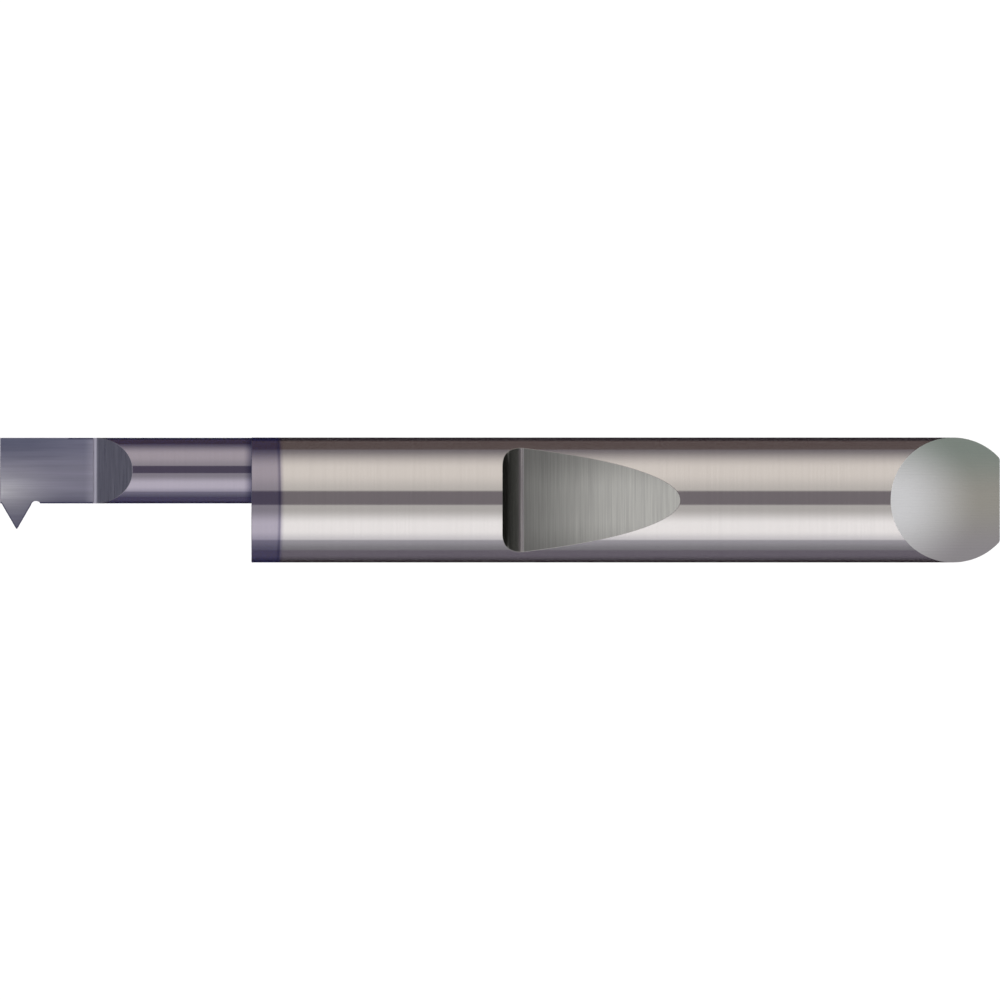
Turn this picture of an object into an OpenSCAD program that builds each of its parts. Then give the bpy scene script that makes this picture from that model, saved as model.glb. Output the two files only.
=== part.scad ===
// One-piece ground carbide bar for cutting internal threads.
// X runs along the shank to its rear end, from the shoulder at the origin.
// Z points out of the rake face, which lies at the height of the shank's axis.
// The tooth points to -Y.

/* [Shank] */
// Diameter of the shank, 5/16 in
shank_d = 7.9375; // [7:0.0625:10]
// Length of the shank behind the shoulder
shank_len = 47.54; // [40:0.01:80]
// Edge break round the rear end
rear_break = 0.05; // [0.05:0.05:0.4]

/* [Neck] */
// Reach of the neck and head in front of the shoulder
neck_len = 15.96; // [13:0.01:30]
// Diameter of the neck
neck_d = 4.165; // [3.4:0.005:5]
// How far the neck's highest side line lies below the shank's
neck_step = 0.02; // [0.01:0.01:0.5]

/* [Rake face] */
// Length of the rake face, from the front to the foot of its run-out
rake_len = 6.06; // [4:0.01:8]
// Angle of the run-out to the axis
runout_angle = 41.5; // [30:0.5:60]
// Radius where the run-out starts
runout_r = 0.42; // [0.1:0.01:0.6]
// Clearance angle of the front face
front_clearance = 8; // [4:0.5:12]

/* [Tooth] */
// Angle between the two flanks
thread_angle = 60; // [50:1:65]
// Height of the tooth over the neck's lower side line
tooth_height = 1.61; // [1:0.01:2]
// Distance from the front face to the tip
tip_setback = 1.05; // [0.7:0.005:1.5]
// Radius of the tip
nose_r = 0.06; // [0.03:0.005:0.12]
// First relief angle behind the cutting edge
first_relief = 12; // [8:0.5:15]
// Depth of the first relief under the rake face
land_depth = 1; // [0.6:0.05:1.4]
// How far the second relief runs in below the neck's round
relief_sink = 0.05; // [0.02:0.01:0.15]
// Radius of the groove at the foot of the rear flank
root_r = 0.33; // [0.15:0.01:0.45]
// Depth of that groove below the neck's lower side line
root_depth = 0.146; // [0.05:0.002:0.25]
// How far that groove undercuts the flank
root_bite = 0.012; // [0.005:0.001:0.03]

/* [Clamp notch] */
// Distance from the shoulder to the notch's upright wall
notch_x = 15.95; // [10:0.01:20]
// Length of the notch along the shank's upper side line
notch_len = 11.3; // [8:0.01:14]
// Angle of the ramp to the axis
ramp_angle = 10; // [6:0.5:14]
// Radius between the wall and the ramp
notch_r = 1.15; // [0.5:0.05:1.5]

/* [Rear bevel] */
// Angle of the bevel to the axis
bevel_angle = 45; // [35:1:60]
// Height of the end face that the bevel leaves
end_land = 1; // [0.5:0.01:2]

/* [Hidden] */
$fn = 144;
shank_r = shank_d / 2;
neck_r = neck_d / 2;
// Overshoot of a cut past the surface, and of the neck into the shank
over = 1;
// How much larger than its radius a round is drawn, so that it always meets the lines beside it
round_lap = 0.0001;
// Place of the neck's axis, and of its lower side line
neck_y = shank_r - neck_step - neck_r;
neck_low = neck_y - neck_r;
// The point where the two flanks would meet if the tip were sharp
flank = thread_angle / 2;
apex_x = tip_setback - neck_len;
apex_y = neck_low - tooth_height - nose_r * (1 / sin(flank) - 1);
// The apex at the foot of the first relief
foot_y = apex_y + land_depth * tan(first_relief);
// The second relief is tangent to a round just inside the neck's
tangent_r = neck_r - relief_sink;
foot_dist = norm([neck_y - foot_y, land_depth]);
second_relief = 90 + atan2(land_depth, neck_y - foot_y) - asin(tangent_r / foot_dist);
// Centre of the groove's round in the rake face
root_y = neck_low + root_depth - root_r;
root_x = apex_x + (root_y - apex_y) * tan(flank) + (root_r - root_bite) / cos(flank);
// Foot of the notch's wall if its corner were sharp
notch_z = shank_r - notch_len * tan(ramp_angle);
// Turn of the shank's seam line from its lowest line. It changes no shape: points spaced evenly from
// the seam, halfway along the shank, then lie on the round and none of them in the open notch.
seam_turn = 37.5;

// A point at a distance from the origin in a direction
function polar(angle, distance) = distance * [cos(angle), sin(angle)];

// Everything on one side of a plane that holds the point; at 0 degrees it is the upper side
module half_space(point, angle, size)
  translate(point)
    rotate([0, angle, 0])
      translate([-size / 2, -size / 2, 0])
        cube(size);

// What a wheel with a rounded corner grinds away between two directions
module wheel_profile(low, high, r, reach) {
  half = (high - low) / 2;
  centre = polar(low + half, r / sin(half));
  polygon([
    polar(low, r / tan(half)),
    polar(low, reach),
    polar(low, reach) + polar(high, reach),
    polar(high, reach),
    polar(high, r / tan(half)),
    centre
  ]);
  translate(centre) circle(r + round_lap);
}

// Draws a profile in the XZ plane and cuts with it across the bar
module across(width)
  rotate([90, 0, 0])
    linear_extrude(height = width, center = true)
      children();

// A V with a rounded tip, its sharp apex at the origin, opening along +Y
module vee_profile(half, r, height) {
  tangent = polar(90 - half, r / tan(half));
  corner = [height * tan(half), height];
  polygon([[-tangent.x, tangent.y], tangent, corner, [-corner.x, corner.y]]);
  translate([0, r / sin(half)]) circle(r + round_lap);
}

// The tooth's V carried down and back under the rake face at a relief angle.
// The V is drawn narrower across the slope, so that it is true in the rake face.
module relieved_vee(relief, r, height, below, above)
  rotate([relief, 0, 0])
    translate([0, 0, -below])
      linear_extrude(height = below + above)
        vee_profile(atan(tan(flank) / cos(relief)), r, height);

module tooth() intersection() {
  translate([apex_x, apex_y, 0])
    relieved_vee(first_relief, nose_r, neck_y - apex_y, neck_d, over);
  translate([apex_x, neck_y - tangent_r * cos(second_relief), -tangent_r * sin(second_relief)])
    relieved_vee(second_relief, nose_r / cos(second_relief), tangent_r, 0,
                 2 * neck_d / cos(second_relief));
}

module root_groove()
  translate([root_x, root_y, 0])
    rotate([first_relief, 0, 0])
      translate([0, 0, -neck_r])
        cylinder(r = root_r, h = neck_r + over);

module head() difference() {
  union() {
    translate([-neck_len, neck_y, 0])
      rotate([0, 90, 0])
        cylinder(r = neck_r, h = neck_len + over);
    tooth();
  }
  half_space([-neck_len, 0, 0], -90 - front_clearance, 4 * shank_d);
  translate([rake_len - neck_len, 0, 0])
    across(2 * shank_d)
      wheel_profile(runout_angle, 180, runout_r, 2 * rake_len);
  root_groove();
}

module shank() difference() {
  rotate([0, 90, 0]) rotate([0, 0, seam_turn]) {
    cylinder(r = shank_r, h = shank_len - rear_break);
    translate([0, 0, shank_len - rear_break])
      cylinder(r1 = shank_r, r2 = shank_r - rear_break, h = rear_break);
  }
  translate([notch_x, 0, notch_z])
    across(2 * shank_d)
      wheel_profile(ramp_angle, 90, notch_r, 2 * notch_len);
  half_space([shank_len, 0, end_land - shank_r], bevel_angle, 4 * shank_d);
}

module threading_bar() color("slategray") {
  shank();
  head();
}

threading_bar();
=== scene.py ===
import math
from collections import namedtuple

import bmesh
import bpy
from mathutils import Matrix, Vector


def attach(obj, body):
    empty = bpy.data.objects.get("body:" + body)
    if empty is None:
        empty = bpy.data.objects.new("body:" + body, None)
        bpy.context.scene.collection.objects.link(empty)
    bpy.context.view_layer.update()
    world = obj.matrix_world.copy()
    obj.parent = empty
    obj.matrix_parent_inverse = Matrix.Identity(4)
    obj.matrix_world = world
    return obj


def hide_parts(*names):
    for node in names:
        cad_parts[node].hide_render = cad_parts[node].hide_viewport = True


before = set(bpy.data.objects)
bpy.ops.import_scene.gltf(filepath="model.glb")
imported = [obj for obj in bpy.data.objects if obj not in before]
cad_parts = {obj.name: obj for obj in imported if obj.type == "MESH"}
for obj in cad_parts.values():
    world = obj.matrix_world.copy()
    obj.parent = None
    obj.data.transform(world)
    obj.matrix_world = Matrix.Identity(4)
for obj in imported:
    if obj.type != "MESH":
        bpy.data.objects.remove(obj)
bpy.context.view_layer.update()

# The bar's driving dimensions, in millimetres and degrees
SHANK_R = 3.96875
SHANK_LEN = 47.54
REAR_BREAK = 0.05
SHOULDER_BREAK = 0.03
NECK_LEN = 15.96
NECK_R = 2.0825
NECK_STEP = 0.02
RAKE_LEN = 6.06
RUNOUT_ANGLE = 41.5
RUNOUT_R = 0.42
FRONT_CLEARANCE = 8
FLANK = 30
TOOTH_HEIGHT = 1.61
TIP_SETBACK = 1.05
NOSE_R = 0.06
FIRST_RELIEF = 12
LAND_DEPTH = 1
RELIEF_SINK = 0.05
ROOT_R = 0.33
ROOT_DEPTH = 0.146
ROOT_BITE = 0.012
NOTCH_X = 15.95
NOTCH_LEN = 11.3
RAMP_ANGLE = 10
NOTCH_R = 1.15
BEVEL_ANGLE = 45
END_LAND = 1
# Width of the break on the other edges that don't cut
EDGE_BREAK = 0.01
# Where the coating ends on the shank's upper side line, and how much farther forward it ends for
# each millimetre below that line
COAT_END = 1.92
COAT_SLANT = 0.045
# A millimetre in metres
MM = 0.001

# How finely the round forms are divided, how far a cut runs past the surface, the shortest edge
# that is kept, and how near two corners of a chamfer are merged
SHANK_SIDES = 192
NECK_SIDES = 144
ARC_STEPS = 16
OVER = 1.0
SHORTEST = 0.012
TOUCHING = 0.0003


def sin(a):
    return math.sin(math.radians(a))


def cos(a):
    return math.cos(math.radians(a))


def tan(a):
    return math.tan(math.radians(a))


def polar(angle, distance):
    return Vector((cos(angle), sin(angle))) * distance


# Worked out from the dimensions: the neck's axis and lower side line, the tooth's sharp apex, the
# angle, tip radius and foot of its second relief, the groove behind it, and the sharp corners of
# the rake face, the notch and the bevel
NECK_Y = SHANK_R - NECK_STEP - NECK_R
NECK_LOW = NECK_Y - NECK_R
APEX = Vector((TIP_SETBACK - NECK_LEN, NECK_LOW - TOOTH_HEIGHT - NOSE_R * (1 / sin(FLANK) - 1), 0))
LAND_Y = NECK_Y - APEX.y - LAND_DEPTH * tan(FIRST_RELIEF)
TANGENT_R = NECK_R - RELIEF_SINK
SECOND_RELIEF = (90 + math.degrees(math.atan2(LAND_DEPTH, LAND_Y))
                 - math.degrees(math.asin(TANGENT_R / math.hypot(LAND_Y, LAND_DEPTH))))
BEHIND_R = NOSE_R / cos(SECOND_RELIEF)
FOOT = Vector((APEX.x, NECK_Y - TANGENT_R * cos(SECOND_RELIEF), -TANGENT_R * sin(SECOND_RELIEF)))
ROOT_Y = NECK_LOW + ROOT_DEPTH - ROOT_R
ROOT_X = APEX.x + (ROOT_Y - APEX.y) * tan(FLANK) + (ROOT_R - ROOT_BITE) / cos(FLANK)
ROOT = Vector((ROOT_X, ROOT_Y, 0))
RAKE_END = Vector((RAKE_LEN - NECK_LEN, 0, 0))
NOTCH_FOOT = Vector((NOTCH_X, 0, SHANK_R - NOTCH_LEN * tan(RAMP_ANGLE)))
BEVEL_FOOT = Vector((SHANK_LEN, 0, END_LAND - SHANK_R))

# Turns a profile's X and Y into the bar's X and Z, with its own Z across the bar
ACROSS = Matrix.Rotation(math.radians(90), 4, "X")


def tilted(place, angle):
    """A place whose Z leans back under the rake face by a relief angle."""
    return Matrix.Translation(place) @ Matrix.Rotation(math.radians(angle), 4, "X")


def arc(centre, r, start, end, steps=ARC_STEPS):
    """Points along an arc from one angle to another, both ends included."""
    return [centre + polar(start + (end - start) * i / steps, r) for i in range(steps + 1)]


def make_object(name, bm):
    bmesh.ops.recalc_face_normals(bm, faces=bm.faces)
    mesh = bpy.data.meshes.new(name)
    bm.to_mesh(mesh)
    bm.free()
    obj = bpy.data.objects.new(name, mesh)
    bpy.context.scene.collection.objects.link(obj)
    return obj


def prism(name, outline, low, high, place):
    """A solid of one outline, drawn from low to high along its own Z and then put in place."""
    bm = bmesh.new()
    bottom = [bm.verts.new((p.x, p.y, low)) for p in outline]
    top = [bm.verts.new((p.x, p.y, high)) for p in outline]
    bm.faces.new(list(reversed(bottom)))
    bm.faces.new(top)
    for i in range(len(outline)):
        j = (i + 1) % len(outline)
        bm.faces.new((bottom[i], bottom[j], top[j], top[i]))
    bm.transform(place)
    return make_object(name, bm)


def turned(name, profile, sides, y=0.0):
    """A solid of revolution about an axis along X. The profile is a list of (x, radius)."""
    bm = bmesh.new()
    turn = [360 * i / sides for i in range(sides)]
    rings = []
    for x, r in profile:
        rings.append([bm.verts.new((x, y + r * sin(a), r * cos(a))) for a in turn])
    for a, b in zip(rings, rings[1:]):
        for i in range(sides):
            j = (i + 1) % sides
            bm.faces.new((a[i], a[j], b[j], b[i]))
    bm.faces.new(list(reversed(rings[0])))
    bm.faces.new(rings[-1])
    return make_object(name, bm)


def combine(target, tool, operation):
    """Joins the tool to the target, cuts it away or keeps what both share, and deletes the tool."""
    step = target.modifiers.new("step", "BOOLEAN")
    step.object = tool
    step.operation = operation
    step.solver = "EXACT"
    graph = bpy.context.evaluated_depsgraph_get()
    mesh = bpy.data.meshes.new_from_object(target.evaluated_get(graph))
    target.modifiers.clear()
    target.data = mesh
    bpy.data.objects.remove(tool)


def half_space(name, point, angle, size):
    """Everything on one side of a plane that holds the point. At 0 degrees it is the upper side."""
    square = [Vector(p) for p in ((-size, -size), (size, -size), (size, size), (-size, size))]
    place = Matrix.Translation(point) @ Matrix.Rotation(math.radians(angle), 4, "Y")
    return prism(name, square, 0, 2 * size, place)


def wheel_centre(low, high, r):
    return polar((low + high) / 2, r / sin((high - low) / 2))


def wheel_outline(low, high, r, reach):
    """What a wheel with a rounded corner grinds away between two directions."""
    far = [polar(low, reach), polar(low, reach) + polar(high, reach), polar(high, reach)]
    return far + arc(wheel_centre(low, high, r), r, high + 90, low + 270)


def vee_half(relief):
    """Half the angle of the V across the slope, so that the V is true in the rake face."""
    return math.degrees(math.atan(tan(FLANK) / cos(relief)))


def vee_nose(relief, r):
    return Vector((0, r / sin(vee_half(relief))))


def relieved_vee(name, relief, r, height, below, above, place):
    """The tooth's V with a rounded tip, carried down and back under the rake face."""
    half = vee_half(relief)
    far = [Vector((height * tan(half), height)), Vector((-height * tan(half), height))]
    outline = far + arc(vee_nose(relief, r), r, 180 + half, 360 - half)
    return prism(name, outline, -below, above, tilted(place, relief))


def make_tooth():
    reach = 4 * NECK_R / cos(SECOND_RELIEF)
    tooth = relieved_vee("tooth", FIRST_RELIEF, NOSE_R, NECK_Y - APEX.y, 2 * NECK_R, OVER, APEX)
    behind = relieved_vee("behind", SECOND_RELIEF, BEHIND_R, TANGENT_R, 0, reach, FOOT)
    combine(tooth, behind, "INTERSECT")
    return tooth


def make_head():
    head = turned("head", [(-NECK_LEN, NECK_R), (OVER, NECK_R)], NECK_SIDES, NECK_Y)
    combine(head, make_tooth(), "UNION")
    front = half_space("front", (-NECK_LEN, 0, 0), -90 - FRONT_CLEARANCE, 4 * SHANK_R)
    combine(head, front, "DIFFERENCE")
    outline = wheel_outline(RUNOUT_ANGLE, 180, RUNOUT_R, 2 * RAKE_LEN)
    place = Matrix.Translation(RAKE_END) @ ACROSS
    combine(head, prism("rake", outline, -2 * SHANK_R, 2 * SHANK_R, place), "DIFFERENCE")
    outline = arc(Vector((0, 0)), ROOT_R, 0, 360, 4 * ARC_STEPS)[:-1]
    combine(head, prism("root", outline, -NECK_R, OVER, tilted(ROOT, FIRST_RELIEF)), "DIFFERENCE")
    return head


def make_shank():
    profile = [
        (0, SHANK_R - SHOULDER_BREAK),
        (SHOULDER_BREAK, SHANK_R),
        (SHANK_LEN - REAR_BREAK, SHANK_R),
        (SHANK_LEN, SHANK_R - REAR_BREAK),
    ]
    shank = turned("threading_bar_ground", profile, SHANK_SIDES)
    outline = wheel_outline(RAMP_ANGLE, 90, NOTCH_R, 2 * NOTCH_LEN)
    place = Matrix.Translation(NOTCH_FOOT) @ ACROSS
    combine(shank, prism("notch", outline, -2 * SHANK_R, 2 * SHANK_R, place), "DIFFERENCE")
    slant = half_space("slant", BEVEL_FOOT, BEVEL_ANGLE, 4 * SHANK_R)
    combine(shank, slant, "DIFFERENCE")
    return shank


# A round surface: a point on its axis, the axis, its radius, and 1 on a shaft or -1 in a hollow
Round = namedtuple("Round", "point axis r side")
# A flat surface: a point on it and its outward direction
Flat = namedtuple("Flat", "point normal")


def leaning(place, angle, point):
    """The point and direction of an axis that leans back by a relief angle."""
    lean = tilted(place, angle)
    return lean @ point.to_3d(), (lean.to_3x3() @ Vector((0, 0, 1)))


def crosswise(place, low, high, r):
    """The point and direction of the axis of a wheel's rounded corner."""
    centre = wheel_centre(low, high, r)
    return place + Vector((centre.x, 0, centre.y)), Vector((0, 1, 0))


ALONG = Vector((1, 0, 0))
ROUNDS = {
    "shank": Round(Vector((0, 0, 0)), ALONG, SHANK_R, 1),
    "neck": Round(Vector((0, NECK_Y, 0)), ALONG, NECK_R, 1),
    "nose": Round(*leaning(APEX, FIRST_RELIEF, vee_nose(FIRST_RELIEF, NOSE_R)), NOSE_R, 1),
    "heel": Round(*leaning(FOOT, SECOND_RELIEF, vee_nose(SECOND_RELIEF, BEHIND_R)), BEHIND_R, 1),
    "root": Round(*leaning(ROOT, FIRST_RELIEF, Vector((0, 0))), ROOT_R, -1),
    "runout_corner": Round(*crosswise(RAKE_END, RUNOUT_ANGLE, 180, RUNOUT_R), RUNOUT_R, -1),
    "notch_corner": Round(*crosswise(NOTCH_FOOT, RAMP_ANGLE, 90, NOTCH_R), NOTCH_R, -1),
}
FLATS = {
    "rake": Flat(RAKE_END, Vector((0, 0, 1))),
    "runout": Flat(RAKE_END, Vector((-sin(RUNOUT_ANGLE), 0, cos(RUNOUT_ANGLE)))),
    "wall": Flat(NOTCH_FOOT, ALONG),
    "ramp": Flat(NOTCH_FOOT, Vector((-sin(RAMP_ANGLE), 0, cos(RAMP_ANGLE)))),
    "slant": Flat(BEVEL_FOOT, Vector((sin(BEVEL_ANGLE), 0, cos(BEVEL_ANGLE)))),
    "end": Flat(BEVEL_FOOT, ALONG),
}
# All zones of the bar: these surfaces, the coated flats in front and the broken edges
ZONES = [*ROUNDS, *FLATS, "other", "edge"]
# How far a face may lie off a surface, in mm, and how far it may face away from it, as 1 - cosine
NEAR = 0.004
AIM = 0.002


def round_normal(surface, p):
    out = p - surface.point
    out -= out.project(surface.axis)
    return out.normalized() * surface.side


def zone_of(face):
    """Names the ground surface that a face of the bar belongs to."""
    centre = face.calc_center_median()
    for name, surface in ROUNDS.items():
        off = centre - surface.point
        reach = (off - off.project(surface.axis)).length
        aim = face.normal.dot(round_normal(surface, centre))
        if abs(reach - surface.r) < NEAR and aim > 1 - AIM:
            return name
    for name, surface in FLATS.items():
        on = abs((centre - surface.point).dot(surface.normal)) < NEAR
        if on and face.normal.dot(surface.normal) > 1 - AIM:
            return name
    # What is left behind the coat is the break round the rear end
    return "end" if centre.x > COAT_END else "other"


# Pairs of surfaces whose shared edge is broken
RIMS = [{"neck", "runout"}, {"shank", "wall"}, {"shank", "notch_corner"}, {"shank", "ramp"}]


def break_edges(bm):
    """Chamfers the edges in RIMS, and marks the chamfers as a zone of their own."""
    chosen = []
    for edge in bm.edges:
        if {ZONES[f.material_index] for f in edge.link_faces} in RIMS:
            chosen.append(edge)
    bmesh.ops.bevel(bm, geom=chosen, offset=EDGE_BREAK, offset_type="OFFSET", segments=1,
                    profile=0.5, affect="EDGES", clamp_overlap=False, material=ZONES.index("edge"))
    bmesh.ops.remove_doubles(bm, verts=bm.verts, dist=TOUCHING)


bar = make_shank()
combine(bar, make_head(), "UNION")

# The material indices number the zones until the finishes are made
bm = bmesh.new()
bm.from_mesh(bar.data)
bmesh.ops.remove_doubles(bm, verts=bm.verts, dist=SHORTEST)
for face in bm.faces:
    face.material_index = ZONES.index(zone_of(face))
break_edges(bm)
bm.to_mesh(bar.data)
bm.free()
bar.data.update()

# Each round face is shaded with the true normal of its surface, and each flat one with its own
normals = []
for face in bar.data.polygons:
    surface = ROUNDS.get(ZONES[face.material_index])
    for index in face.vertices:
        point = bar.data.vertices[index].co
        normals.append(round_normal(surface, point) if surface else face.normal.copy())
bar.data.polygons.foreach_set("use_smooth", [True] * len(bar.data.polygons))
bar.data.transform(Matrix.Scale(MM, 4))
bar.data.normals_split_custom_set(normals)

# Reflectances at normal incidence, and how strongly the rim's shows where the coat thins out
BARE = (0.62, 0.6, 0.585)
DARKER_EDGE = (0.35, 0.34, 0.33)
COAT = (0.345, 0.318, 0.36)
# Painted shade for the neck's coat in the corner at the shoulder
PAINTED_SHOULDER_SHADE = (0.13, 0.12, 0.16)
# The coat's dark rim where it ends, also used as painted shade along the rake face's outline
COAT_RIM_AND_OUTLINE_SHADE = (0.09, 0.08, 0.13)
RIM_STRENGTH = 0.78
# Where the coat's colour fades out along the bar, and the dark rim: its ends and how soft each is
COAT_FADE = (COAT_END - 0.18, COAT_END + 0.25)
RIM_BAND = (COAT_END - 0.178, COAT_END - 0.06, 0.146, 0.065)
# The share of a bare ground surface that mirrors; the rest scatters light like a pale haze
MIRRORING = 0.94
# The strength and colour of the violet haze on the coat
COAT_HAZE = 0.06
HAZE_TINT = (0.12, 0.2, 1.0, 1.0)
# Depth of the grinding lines in metres, on the bright round surfaces, the rake face and the others
ROUND_LINES = 1e-7
RAKE_LINES = 2e-7
FLAT_LINES = 3e-7
# The part of the noise's range that shows, as colour and as roughness
COLOUR_SPAN = (0.2, 0.8)
ROUGHNESS_SPAN = (0.25, 0.75)
# Places of the colour sockets in a Mix node, whose sockets for other data have the same names
MIX_FACTOR, MIX_A, MIX_B, MIX_RESULT = 0, 6, 7, 2


class Graph:
    """A node tree, with short ways to add nodes to it."""

    def __init__(self, tree):
        self.tree = tree

    def node(self, kind, sockets=None, **settings):
        """Adds a node, sets its properties, and fills its sockets with values or nodes' outputs."""
        new = self.tree.nodes.new(kind)
        for name, value in settings.items():
            setattr(new, name, value)
        for name, value in (sockets or {}).items():
            if isinstance(value, bpy.types.NodeSocket):
                self.tree.links.new(value, new.inputs[name])
            else:
                new.inputs[name].default_value = value
        return new

    def calculate(self, operation, *values):
        return self.node("ShaderNodeMath", dict(enumerate(values)), operation=operation).outputs[0]

    def ease(self, value, low, high, start=0.0, end=1.0):
        """Goes smoothly from start to end while the value goes from low to high."""
        sockets = {"Value": value, "From Min": low, "From Max": high, "To Min": start, "To Max": end}
        return self.node("ShaderNodeMapRange", sockets, interpolation_type="SMOOTHSTEP").outputs[0]

    def between(self, value, low, high, soft_low, soft_high):
        """1 between low and high and 0 outside, with a soft step of its own at each end."""
        rise = self.ease(value, low - soft_low, low + soft_low)
        fall = self.ease(value, high - soft_high, high + soft_high, 1.0, 0.0)
        return self.calculate("MULTIPLY", rise, fall)

    def blend(self, factor, a, b, how="MIX"):
        """Mixes two colours, each an output or three numbers."""
        sockets = {MIX_FACTOR: factor}
        for socket, colour in ((MIX_A, a), (MIX_B, b)):
            linked = isinstance(colour, bpy.types.NodeSocket)
            sockets[socket] = colour if linked else (*colour, 1)
        mix = self.node("ShaderNodeMix", sockets, data_type="RGBA", blend_type=how)
        return mix.outputs[MIX_RESULT]


class Finish(Graph):
    """A metal surface: its material, its shader, and the place on the bar in millimetres."""

    def __init__(self, name, roughness):
        self.material = bpy.data.materials.new(name)
        self.material.use_nodes = True
        super().__init__(self.material.node_tree)
        self.shader = self.tree.nodes["Principled BSDF"]
        self.shader.inputs["Metallic"].default_value = 1.0
        self.shader.inputs["Roughness"].default_value = roughness
        place = self.node("ShaderNodeTexCoord").outputs["Object"]
        scale = {"Vector": place, "Scale": 1 / MM}
        self.place = self.node("ShaderNodeVectorMath", scale, operation="SCALE").outputs[0]
        self.x, self.y, self.z = self.node("ShaderNodeSeparateXYZ", {"Vector": self.place}).outputs

    def feed(self, socket, output):
        self.tree.links.new(output, self.shader.inputs[socket])

    def paint(self, colour):
        self.feed("Base Color", colour)

    def lines(self, pitch, length, along):
        """Grinding lines of a mean pitch and length along one or two axes, as a value about 0.5."""
        per_mm = [1 / length if axis in along else 1 / pitch for axis in "XYZ"]
        sockets = {0: self.place, 1: per_mm}
        stretched = self.node("ShaderNodeVectorMath", sockets, operation="MULTIPLY").outputs[0]
        sockets = {"Vector": stretched, "Scale": 1.0, "Detail": 3.0, "Roughness": 0.65}
        return self.node("ShaderNodeTexNoise", sockets).outputs["Fac"]

    def engrave(self, lines, depth):
        """Gives the surface a relief of that depth in metres."""
        sockets = {"Height": lines, "Distance": depth, "Strength": 1.0}
        self.feed("Normal", self.node("ShaderNodeBump", sockets).outputs[0])

    def vary(self, colour, lines, amount):
        """The colour made lighter and darker along the lines."""
        shade = self.ease(lines, *COLOUR_SPAN, 1 - amount, 1 + amount)
        sockets = {"Red": shade, "Green": shade, "Blue": shade}
        grey = self.node("ShaderNodeCombineColor", sockets).outputs[0]
        return self.blend(1.0, colour, grey, "MULTIPLY")

    def roughen(self, lines, spread):
        """Lets the roughness vary along the lines, by the spread on either side of its value."""
        mean = self.shader.inputs["Roughness"].default_value
        self.feed("Roughness", self.ease(lines, *ROUGHNESS_SPAN, mean - spread, mean + spread))

    def distance(self, centre, stretch):
        """How far a point is from a centre in X and Y, with each divided by its stretch."""
        squares = []
        for place, middle, size in zip((self.x, self.y), centre, stretch):
            off = self.calculate("DIVIDE", self.calculate("SUBTRACT", place, middle), size)
            squares.append(self.calculate("MULTIPLY", off, off))
        return self.calculate("SQRT", self.calculate("ADD", *squares))

    def along_coat(self):
        """The place along the bar, shifted so that the slanted coat ends at COAT_END everywhere."""
        below_top = self.calculate("SUBTRACT", SHANK_R, self.z)
        return self.calculate("MULTIPLY_ADD", below_top, COAT_SLANT, self.x)

    def bare_beyond_coat(self):
        """0 on the coated front of the bar and 1 on the bare ground metal behind it."""
        return self.ease(self.along_coat(), *COAT_FADE)

    def coated(self, bare):
        """The coat's colour in front and the bare metal's behind, with a dark rim between them."""
        colour = self.blend(self.bare_beyond_coat(), COAT, bare)
        rim = self.between(self.along_coat(), *RIM_BAND)
        return self.blend(self.calculate("MULTIPLY", rim, RIM_STRENGTH), colour, COAT_RIM_AND_OUTLINE_SHADE)

    def haze(self):
        """Gives the coat its violet haze."""
        self.shader.inputs["Sheen Weight"].default_value = COAT_HAZE
        self.shader.inputs["Sheen Roughness"].default_value = 1.0
        self.shader.inputs["Sheen Tint"].default_value = HAZE_TINT

    def fade_haze(self):
        """Ends the haze with the coat, where the bare metal's faint pale scatter starts."""
        bare = self.bare_beyond_coat()
        self.feed("Metallic", self.ease(bare, 0.0, 1.0, 1.0, MIRRORING))
        self.feed("Sheen Weight", self.ease(bare, 0.0, 1.0, COAT_HAZE, 0.0))


def shank_finish():
    """The cylindrically ground shank: bare metal, with the coat over its front end."""
    f = Finish("ground_shank", 0.075)
    lines = f.lines(pitch=0.09, length=6.0, along="YZ")
    f.paint(f.vary(f.coated(BARE), lines, amount=0.025))
    f.haze()
    f.fade_haze()
    f.roughen(lines, spread=0.015)
    f.engrave(lines, ROUND_LINES)
    return f.material


def neck_finish():
    """The cylindrically ground neck, its coat darkened by painted shade in the corner at the
    shoulder.
    """
    f = Finish("coated_neck", 0.075)
    lines = f.lines(pitch=0.09, length=6.0, along="YZ")
    # Painted shade: the coat darkens towards the corner at the shoulder
    coat = f.blend(f.ease(f.x, -0.55, 0.05), COAT, PAINTED_SHOULDER_SHADE)
    f.paint(f.vary(coat, lines, amount=0.025))
    f.haze()
    f.roughen(lines, spread=0.015)
    f.engrave(lines, ROUND_LINES)
    return f.material


def flank_finish():
    """The tool-ground flanks, front face and shoulder."""
    f = Finish("coated_flank", 0.29)
    lines = f.lines(pitch=0.07, length=3.0, along="Y")
    f.paint(f.vary(COAT, lines, amount=0.08))
    f.haze()
    f.roughen(lines, spread=0.05)
    f.engrave(lines, FLAT_LINES)
    return f.material


def end_finish():
    """The rear end face and the edge break round it."""
    f = Finish("ground_end", 0.29)
    f.shader.inputs["Metallic"].default_value = MIRRORING
    lines = f.lines(pitch=0.07, length=3.0, along="Y")
    f.paint(f.vary(BARE, lines, amount=0.08))
    f.roughen(lines, spread=0.05)
    f.engrave(lines, FLAT_LINES)
    return f.material


# How much farther the tooth's flanks and the front count from the outline, thinning its painted
# shade there
FLANK_MARGIN = 0.03
FRONT_MARGIN = 0.05


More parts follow.
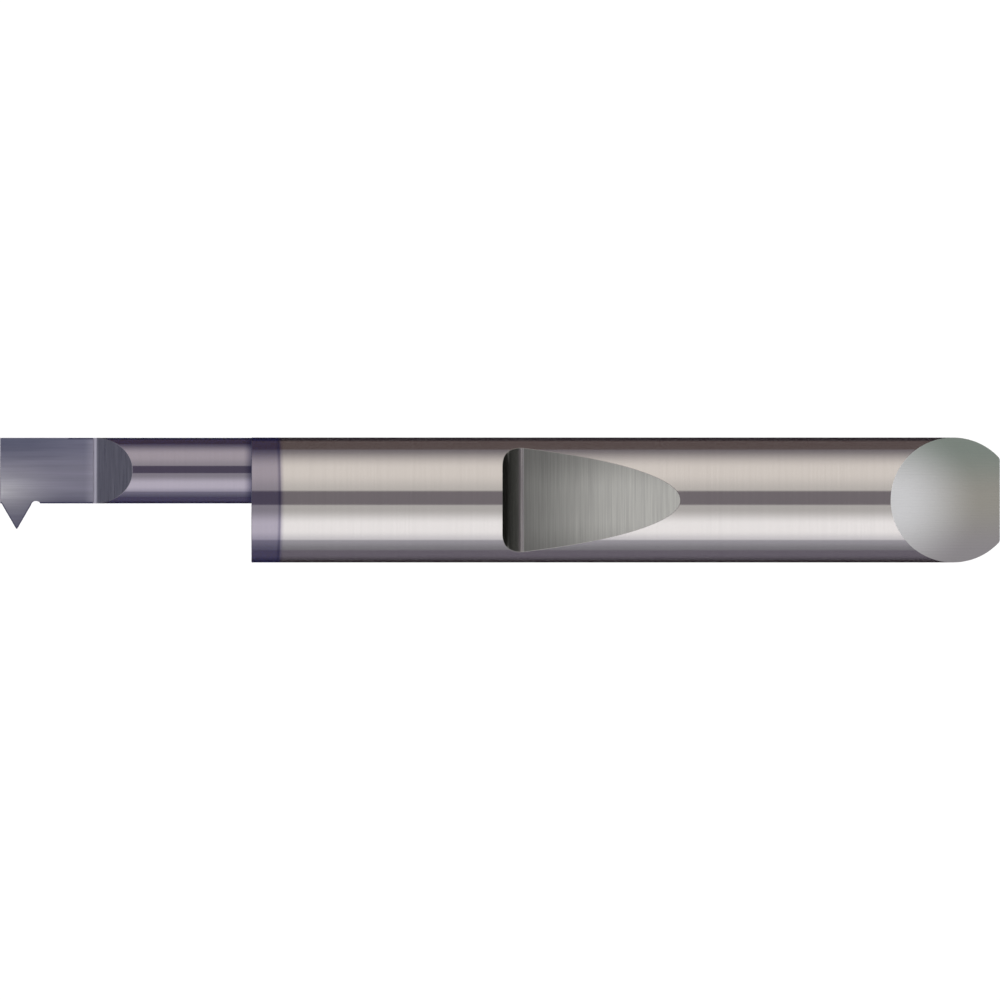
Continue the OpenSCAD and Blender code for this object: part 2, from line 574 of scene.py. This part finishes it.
def rake_margin(f):
    """How far a point of the rake face lies from its outline, plus the margins."""
    from_near_side = f.calculate("SUBTRACT", f.y, NECK_LOW)
    from_far_side = f.calculate("SUBTRACT", NECK_Y + NECK_R, f.y)
    strip = f.calculate("MINIMUM", from_near_side, from_far_side)
    aside = f.calculate("ABSOLUTE", f.calculate("SUBTRACT", f.x, APEX.x))
    above = f.calculate("MULTIPLY", f.calculate("SUBTRACT", f.y, APEX.y), sin(FLANK))
    wedge = f.calculate("SUBTRACT", above, f.calculate("MULTIPLY", aside, cos(FLANK)))
    wedge = f.calculate("ADD", wedge, FLANK_MARGIN)
    front = f.calculate("ADD", f.x, NECK_LEN + FRONT_MARGIN)
    return f.calculate("MINIMUM", front, f.calculate("MAXIMUM", strip, wedge))


def rake_finish():
    """The lapped rake face, with painted light at its front near the tooth and painted shade round
    its outline.
    """
    f = Finish("lapped_rake", 0.43)
    broad = f.lines(pitch=0.3, length=9.0, along="X")
    fine = f.lines(pitch=0.07, length=4.0, along="X")
    # Painted shade and light: light in the middle, darker along the near side, darkest at the front
    # of the far side
    far_side = f.blend(f.ease(f.x, -14.5, -10.3), (0.245, 0.255, 0.315), (0.32, 0.325, 0.4))
    colour = f.blend(f.ease(f.y, 3.75, 1.7), far_side, (0.45, 0.445, 0.515))
    colour = f.blend(f.ease(f.y, 0.75, -0.2), colour, (0.27, 0.267, 0.315))
    # Painted light brightest at the front, a painted pale strip beside the run-out, and painted
    # shade on the outline
    from_front = f.distance(centre=(-NECK_LEN, 0.6), stretch=(4.75, 2.5))
    painted_glow = f.calculate("MAXIMUM", f.calculate("SUBTRACT", 1.0, from_front), 0.0)
    painted_glow = f.calculate("MULTIPLY", painted_glow, painted_glow)
    colour = f.blend(painted_glow, colour, (0.98, 0.99, 1.0))
    beside_runout = f.ease(f.x, RAKE_END.x - 0.8, RAKE_END.x - 0.1, 0.0, 0.35)
    colour = f.blend(beside_runout, colour, (0.8, 0.79, 0.88))
    # Painted shade along the outline, in the colour of the coat's rim
    outline = f.ease(rake_margin(f), 0.04, 0.13, 1.0, 0.0)
    colour = f.blend(outline, colour, COAT_RIM_AND_OUTLINE_SHADE)
    f.paint(f.vary(f.vary(colour, broad, amount=0.12), fine, amount=0.03))
    f.haze()
    f.roughen(fine, spread=0.03)
    f.engrave(fine, RAKE_LINES)
    return f.material


def runout_finish():
    """The rake face's run-out, ground across the neck: darker on its slope, a painted highlight
    along its foot.
    """
    f = Finish("ground_runout", 0.31)
    lines = f.lines(pitch=0.08, length=2.5, along="Y")
    # Painted highlight: a bright line where the rake face curves into the run-out, darker on the
    # slope beyond
    curved = f.ease(f.x, RAKE_END.x - 0.15, RAKE_END.x - 0.03)
    painted_foot_highlight = f.blend(curved, (0.54, 0.53, 0.58), (0.42, 0.41, 0.45))
    darker_slope = f.ease(f.x, RAKE_END.x - 0.04, RAKE_END.x + 0.2)
    colour = f.blend(darker_slope, painted_foot_highlight, (0.215, 0.21, 0.21))
    f.paint(f.vary(colour, lines, amount=0.18))
    f.haze()
    f.roughen(lines, spread=0.05)
    f.engrave(lines, FLAT_LINES)
    return f.material


def notch_finish():
    """The notch's wall and rounded corner: painted shade by the wall, a painted highlight by the
    ramp's foot.
    """
    f = Finish("ground_notch", 0.23)
    lines = f.lines(pitch=0.1, length=4.0, along="Y")
    # Painted shade: dark by the wall, lighter beyond it
    beyond_wall = f.ease(f.x, NOTCH_X + 0.2, NOTCH_X + 0.8)
    colour = f.blend(beyond_wall, (0.17, 0.17, 0.16), (0.5, 0.5, 0.48))
    # Painted highlight: a bright line near the foot of the ramp
    painted_highlight_line = f.between(f.x, NOTCH_X + 1.16, NOTCH_X + 1.26, 0.06, 0.06)
    colour = f.blend(painted_highlight_line, colour, (0.84, 0.84, 0.79))
    f.paint(f.vary(colour, lines, amount=0.08))
    f.roughen(lines, spread=0.03)
    f.engrave(lines, FLAT_LINES)
    return f.material


def ramp_finish():
    """The clamp ramp, ground across the bar: painted shade at its foot and sides, painted light
    brightest at its end.
    """
    f = Finish("ground_ramp", 0.36)
    lines = f.lines(pitch=0.1, length=6.0, along="Y")
    patches = f.lines(pitch=1.2, length=3.0, along="Y")
    # Painted shade at the ramp's foot, going over to painted light at its end
    foot_to_exit = f.ease(f.x, NOTCH_X + 0.6, NOTCH_X + 8.6)
    colour = f.blend(foot_to_exit, (0.265, 0.27, 0.25), (0.7, 0.71, 0.65))
    # Painted shade to both sides of a line 0.35 mm off the middle
    aside = f.calculate("ABSOLUTE", f.calculate("ADD", f.y, 0.35))
    colour = f.blend(f.ease(aside, 0.9, 3.4, 0.0, 0.4), colour, (0.1, 0.1, 0.095))
    f.paint(f.vary(f.vary(colour, patches, amount=0.02), lines, amount=0.11))
    f.roughen(lines, spread=0.06)
    f.engrave(lines, FLAT_LINES)
    return f.material


def slant_finish():
    """The rear bevel, ground down its slope: a painted highlight at its top, painted reflection
    tints below.
    """
    f = Finish("ground_slant", 0.35)
    lines = f.lines(pitch=0.12, length=8.0, along="XZ")
    # Painted reflection tints: greenish towards +Y and mauve towards -Y
    painted_reflection_tint = f.blend(f.ease(f.y, 0.0, 3.4), (0.375, 0.36, 0.321), (0.262, 0.298, 0.266))
    painted_reflection_tint = f.blend(f.ease(f.y, 0.0, -3.4), painted_reflection_tint, (0.334, 0.315, 0.328))
    # Painted highlight, brightest near the bevel's top
    painted_highlight_falloff = f.distance(centre=(SHANK_LEN - 7.23, -0.19), stretch=(1, 0.86))
    colour = f.blend(f.ease(painted_highlight_falloff, 0.9, 6.2), (0.775, 0.775, 0.785), painted_reflection_tint)
    f.paint(f.vary(colour, lines, amount=0.12))
    f.roughen(lines, spread=0.05)
    f.engrave(lines, FLAT_LINES)
    return f.material


def edge_finish():
    """The broken edges, darker than the bare metal."""
    f = Finish("broken_edge", 0.25)
    lines = f.lines(pitch=0.05, length=0.5, along="Y")
    f.paint(f.vary(f.coated(DARKER_EDGE), lines, amount=0.1))
    return f.material


FINISHES = [
    (shank_finish, ["shank"]),
    (neck_finish, ["neck"]),
    (flank_finish, ["nose", "heel", "root", "other"]),
    (end_finish, ["end"]),
    (rake_finish, ["rake"]),
    (runout_finish, ["runout", "runout_corner"]),
    (notch_finish, ["wall", "notch_corner"]),
    (ramp_finish, ["ramp"]),
    (slant_finish, ["slant"]),
    (edge_finish, ["edge"]),
]

# From here on the material indices number the finishes
finish_of = {}
for number, (make_finish, zones) in enumerate(FINISHES):
    bar.data.materials.append(make_finish())
    finish_of.update({zone: number for zone in zones})
for face in bar.data.polygons:
    face.material_index = finish_of[ZONES[face.material_index]]

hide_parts("threading_bar")
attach(bar, "root")

# Width of the view, in millimetres
FRAME_WIDTH = 63.52
# Height of the camera and half the width of the floor, in metres
CAMERA_HEIGHT = 0.5
FLOOR_REACH = 3

# The camera is straight above the bar. It has no perspective, like the photo, where both ends of
# the shank are the same height.
camera_data = bpy.data.cameras.new("camera")
camera_data.type = "ORTHO"
camera_data.ortho_scale = FRAME_WIDTH * MM
camera = bpy.data.objects.new("camera", camera_data)
centre_x = (SHANK_LEN - NECK_LEN) / 2
camera.location = (centre_x * MM, 0, CAMERA_HEIGHT)
bpy.context.scene.collection.objects.link(camera)
bpy.context.scene.camera = camera

floor_mesh = bpy.data.meshes.new("floor")
bm = bmesh.new()
bmesh.ops.create_grid(bm, x_segments=1, y_segments=1, size=FLOOR_REACH)
bm.to_mesh(floor_mesh)
bm.free()
floor = bpy.data.objects.new("floor", floor_mesh)
floor.location.z = -SHANK_R * MM
bpy.context.scene.collection.objects.link(floor)
paint = bpy.data.materials.new("floor")
paint.use_nodes = True
shader = paint.node_tree.nodes["Principled BSDF"]
shader.inputs["Base Color"].default_value = (0.9, 0.9, 0.9, 1)
shader.inputs["Roughness"].default_value = 1.0
floor.data.materials.append(paint)
# The bar mirrors the world's own dark part below the horizon instead of the floor
floor.visible_glossy = False


def overhead(name, strength, width, shadow):
    """A sun straight above, which isn't mirrored in the bar. Width is its angle in the sky."""
    data = bpy.data.lights.new(name, "SUN")
    data.energy = strength
    data.angle = math.radians(width)
    data.use_shadow = shadow
    light = bpy.data.objects.new(name, data)
    light.visible_glossy = False
    bpy.context.scene.collection.objects.link(light)


overhead("fill", strength=3.3, width=1, shadow=False)
overhead("key", strength=0.4, width=70, shadow=True)

# Plain colours that the bar mirrors: below the horizon, a brown card, the gap between the cards,
# and a mauve card
BELOW = (0.02, 0.012, 0.018)
BROWN = (0.11, 0.076, 0.075)
GAP = (0.19, 0.165, 0.188)
MAUVE = (0.16, 0.14, 0.187)


def build_world():
    """The cards and panels round the bar.

    Turn is the angle round the bar's length, from the zenith towards +Y. Height is the angle above
    the horizon, and lean the angle towards the rear end. All are in degrees.
    """
    world = bpy.data.worlds.new("studio")
    world.use_nodes = True
    studio = Graph(world.node_tree)
    direction = studio.node("ShaderNodeTexCoord").outputs["Generated"]
    x, y, z = studio.node("ShaderNodeSeparateXYZ", {"Vector": direction}).outputs
    turn = studio.calculate("DEGREES", studio.calculate("ARCTAN2", y, z))
    height = studio.calculate("DEGREES", studio.calculate("ARCSINE", z))
    lean = studio.calculate("DEGREES", studio.calculate("ARCSINE", x))
    # The far side has a warm panel over a dim brown card. The near side has a white panel, dim
    # along its top, over a grey card and a mauve one.
    warm = studio.blend(studio.ease(turn, 16, 50), (0.7, 0.67, 0.64), (0.97, 0.91, 0.86))
    grey = studio.blend(studio.ease(turn, -104, -80), (0.25, 0.245, 0.28), (0.44, 0.43, 0.49))
    white = studio.blend(studio.ease(turn, -80, -58), (0.85, 0.84, 0.89), (1.25, 1.23, 1.25))
    white = studio.blend(studio.ease(turn, -46, -16), white, (0.6, 0.585, 0.575))
    # By turn: where each card starts and ends, how soft each end is, and its colour
    cards = [
        (100, 142, 3, 4, BROWN),
        (-101, 107.5, 4, 2, GAP),
        (16.7, 85, 2, 25, warm),
        (-139, -101, 19, 5, MAUVE),
        (-106.5, -75, 2.5, 3, grey),
        (-79.5, -9, 2, 1.2, white),
    ]
    colour = BELOW
    for low, high, soft_low, soft_high, card in cards:
        colour = studio.blend(studio.between(turn, low, high, soft_low, soft_high), colour, card)
    # Towards the head it is grey, with a light panel from about 20 degrees off the zenith down to
    # 13 above the horizon
    colour = studio.blend(studio.ease(lean, -12, -40), colour, (0.19, 0.185, 0.2))
    panel = studio.calculate("MULTIPLY", studio.ease(lean, -10, -32), studio.ease(height, 4, 22))
    colour = studio.blend(panel, colour, (0.87, 0.86, 0.9))
    # Towards the rear end it is dark overhead and round the bar's axis, with a light strip at the
    # horizon
    dark = studio.ease(studio.calculate("ABSOLUTE", turn), 42, 28)
    dark = studio.calculate("MAXIMUM", dark, studio.ease(lean, 48, 60))
    dark = studio.calculate("MULTIPLY", dark, studio.ease(lean, 3, 16))
    colour = studio.blend(dark, colour, (0.055, 0.055, 0.052))
    strip = studio.between(height, -18, 5, 8, 3)
    strip = studio.calculate("MULTIPLY", studio.ease(lean, 30, 60), strip)
    colour = studio.blend(strip, colour, (1.25, 1.25, 1.26))
    # The camera itself sees plain white beyond the floor
    seen = studio.node("ShaderNodeLightPath").outputs["Is Camera Ray"]
    colour = studio.blend(seen, colour, (1.1, 1.1, 1.1))
    studio.tree.links.new(colour, studio.tree.nodes["Background"].inputs["Color"])
    # The cards are only mirrored, and light nothing
    world.cycles_visibility.diffuse = False
    bpy.context.scene.world = world


build_world()
bpy.context.scene.view_settings.view_transform = "Standard"
